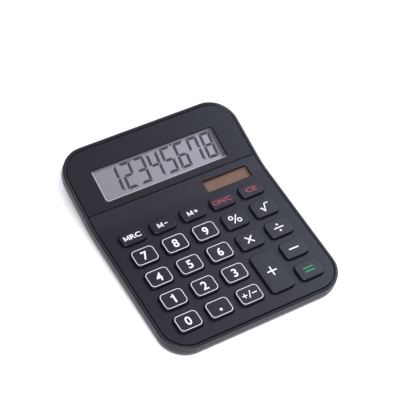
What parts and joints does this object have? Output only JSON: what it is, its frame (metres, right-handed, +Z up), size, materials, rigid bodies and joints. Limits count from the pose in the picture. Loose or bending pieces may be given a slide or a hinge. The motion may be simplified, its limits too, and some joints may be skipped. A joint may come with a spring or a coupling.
{
  "type": "pocket calculator",
  "caption": "Calculator with a tilted liquid crystal display, a solar cell and square push keys in a thin rounded case that slopes up to the back.",
  "frame": {"origin": "middle of the base, on the plane the rubber feet stand on", "axes": "+X to the user's right along the key rows, +Y from the front edge to the display, +Z up"},
  "size_m": [0.105, 0.1285, 0.0257],
  "materials": {
    "case_plastic": "fine matt moulded ABS, charcoal",
    "face_plastic": "fine matt moulded ABS, charcoal",
    "display_plastic": "smooth satin moulded ABS, dark charcoal",
    "key_plastic": "satin moulded ABS with printed legends",
    "clear_lens": "clear polished acrylic",
    "lcd_glass": "display glass under a grey polariser",
    "ribbon_film": "flexible film with printed tracks",
    "solar_glass": "copper-brown amorphous silicon on glass",
    "silicone": "translucent grey silicone rubber",
    "board_laminate": "green solder mask on glass-fibre laminate",
    "black_resin": "glossy potting resin",
    "capacitor_sleeve": "shrunk plastic sleeve",
    "cell_steel": "bright nickel-plated steel",
    "contact_steel": "bright spring steel",
    "screw_steel": "zinc-plated steel",
    "foot_rubber": "matt black rubber"
  },
  "bodies": {
    "case": {"case_frame": "case_plastic", "keypad_plate": "face_plastic", "display_plate": "display_plastic", "display_lens": "clear_lens", "display_glass": "lcd_glass", "display_ribbon": "ribbon_film", "solar_cell": "solar_glass", "key_mat": "silicone", "circuit_board": "board_laminate", "chip_resin": "black_resin", "capacitor": "capacitor_sleeve", "lower_shell": "case_plastic", "screw_1": "screw_steel", "screw_2": "screw_steel", "screw_3": "screw_steel", "screw_4": "screw_steel", "foot_front_left": "foot_rubber", "foot_front_right": "foot_rubber", "foot_back_left": "foot_rubber", "foot_back_right": "foot_rubber", "button_cell": "cell_steel", "contact_negative": "contact_steel", "contact_positive": "contact_steel"},
    "battery_door": {"battery_door": "case_plastic"},
    "key_mrc": {"key_mrc": "key_plastic"},
    "key_m_minus": {"key_m_minus": "key_plastic"},
    "key_m_plus": {"key_m_plus": "key_plastic"},
    "key_on_c": {"key_on_c": "key_plastic"},
    "key_ce": {"key_ce": "key_plastic"},
    "key_0": {"key_0": "key_plastic"},
    "key_point": {"key_point": "key_plastic"},
    "key_sign": {"key_sign": "key_plastic"},
    "key_equals": {"key_equals": "key_plastic"},
    "key_1": {"key_1": "key_plastic"},
    "key_2": {"key_2": "key_plastic"},
    "key_3": {"key_3": "key_plastic"},
    "key_minus": {"key_minus": "key_plastic"},
    "key_4": {"key_4": "key_plastic"},
    "key_5": {"key_5": "key_plastic"},
    "key_6": {"key_6": "key_plastic"},
    "key_multiply": {"key_multiply": "key_plastic"},
    "key_divide": {"key_divide": "key_plastic"},
    "key_7": {"key_7": "key_plastic"},
    "key_8": {"key_8": "key_plastic"},
    "key_9": {"key_9": "key_plastic"},
    "key_percent": {"key_percent": "key_plastic"},
    "key_root": {"key_root": "key_plastic"},
    "key_plus": {"key_plus": "key_plastic"}
  },
  "joints": [
    {"name": "key_mrc_press", "type": "slide", "parent": "case", "child": "key_mrc", "axis": [0, 0.0523, -0.9986], "range_m": [0, 0.0009], "stiffness_N_per_m": 700},
    {"name": "key_m_minus_press", "type": "slide", "parent": "case", "child": "key_m_minus", "axis": [0, 0.0523, -0.9986], "range_m": [0, 0.0009], "stiffness_N_per_m": 700},
    {"name": "key_m_plus_press", "type": "slide", "parent": "case", "child": "key_m_plus", "axis": [0, 0.0523, -0.9986], "range_m": [0, 0.0009], "stiffness_N_per_m": 700},
    {"name": "key_on_c_press", "type": "slide", "parent": "case", "child": "key_on_c", "axis": [0, 0.0523, -0.9986], "range_m": [0, 0.0009], "stiffness_N_per_m": 700},
    {"name": "key_ce_press", "type": "slide", "parent": "case", "child": "key_ce", "axis": [0, 0.0523, -0.9986], "range_m": [0, 0.0009], "stiffness_N_per_m": 700},
    {"name": "key_0_press", "type": "slide", "parent": "case", "child": "key_0", "axis": [0, 0.0523, -0.9986], "range_m": [0, 0.0009], "stiffness_N_per_m": 700},
    {"name": "key_point_press", "type": "slide", "parent": "case", "child": "key_point", "axis": [0, 0.0523, -0.9986], "range_m": [0, 0.0009], "stiffness_N_per_m": 700},
    {"name": "key_sign_press", "type": "slide", "parent": "case", "child": "key_sign", "axis": [0, 0.0523, -0.9986], "range_m": [0, 0.0009], "stiffness_N_per_m": 700},
    {"name": "key_equals_press", "type": "slide", "parent": "case", "child": "key_equals", "axis": [0, 0.0523, -0.9986], "range_m": [0, 0.0009], "stiffness_N_per_m": 700},
    {"name": "key_1_press", "type": "slide", "parent": "case", "child": "key_1", "axis": [0, 0.0523, -0.9986], "range_m": [0, 0.0009], "stiffness_N_per_m": 700},
    {"name": "key_2_press", "type": "slide", "parent": "case", "child": "key_2", "axis": [0, 0.0523, -0.9986], "range_m": [0, 0.0009], "stiffness_N_per_m": 700},
    {"name": "key_3_press", "type": "slide", "parent": "case", "child": "key_3", "axis": [0, 0.0523, -0.9986], "range_m": [0, 0.0009], "stiffness_N_per_m": 700},
    {"name": "key_minus_press", "type": "slide", "parent": "case", "child": "key_minus", "axis": [0, 0.0523, -0.9986], "range_m": [0, 0.0009], "stiffness_N_per_m": 700},
    {"name": "key_4_press", "type": "slide", "parent": "case", "child": "key_4", "axis": [0, 0.0523, -0.9986], "range_m": [0, 0.0009], "stiffness_N_per_m": 700},
    {"name": "key_5_press", "type": "slide", "parent": "case", "child": "key_5", "axis": [0, 0.0523, -0.9986], "range_m": [0, 0.0009], "stiffness_N_per_m": 700},
    {"name": "key_6_press", "type": "slide", "parent": "case", "child": "key_6", "axis": [0, 0.0523, -0.9986], "range_m": [0, 0.0009], "stiffness_N_per_m": 700},
    {"name": "key_multiply_press", "type": "slide", "parent": "case", "child": "key_multiply", "axis": [0, 0.0523, -0.9986], "range_m": [0, 0.0009], "stiffness_N_per_m": 700},
    {"name": "key_divide_press", "type": "slide", "parent": "case", "child": "key_divide", "axis": [0, 0.0523, -0.9986], "range_m": [0, 0.0009], "stiffness_N_per_m": 700},
    {"name": "key_7_press", "type": "slide", "parent": "case", "child": "key_7", "axis": [0, 0.0523, -0.9986], "range_m": [0, 0.0009], "stiffness_N_per_m": 700},
    {"name": "key_8_press", "type": "slide", "parent": "case", "child": "key_8", "axis": [0, 0.0523, -0.9986], "range_m": [0, 0.0009], "stiffness_N_per_m": 700},
    {"name": "key_9_press", "type": "slide", "parent": "case", "child": "key_9", "axis": [0, 0.0523, -0.9986], "range_m": [0, 0.0009], "stiffness_N_per_m": 700},
    {"name": "key_percent_press", "type": "slide", "parent": "case", "child": "key_percent", "axis": [0, 0.0523, -0.9986], "range_m": [0, 0.0009], "stiffness_N_per_m": 700},
    {"name": "key_root_press", "type": "slide", "parent": "case", "child": "key_root", "axis": [0, 0.0523, -0.9986], "range_m": [0, 0.0009], "stiffness_N_per_m": 700},
    {"name": "key_plus_press", "type": "slide", "parent": "case", "child": "key_plus", "axis": [0, 0.0523, -0.9986], "range_m": [0, 0.0009], "stiffness_N_per_m": 700},
    {"name": "battery_door_slide", "type": "slide", "parent": "case", "child": "battery_door", "axis": [0, 1, 0], "range_m": [0, 0.02]}
  ]
}
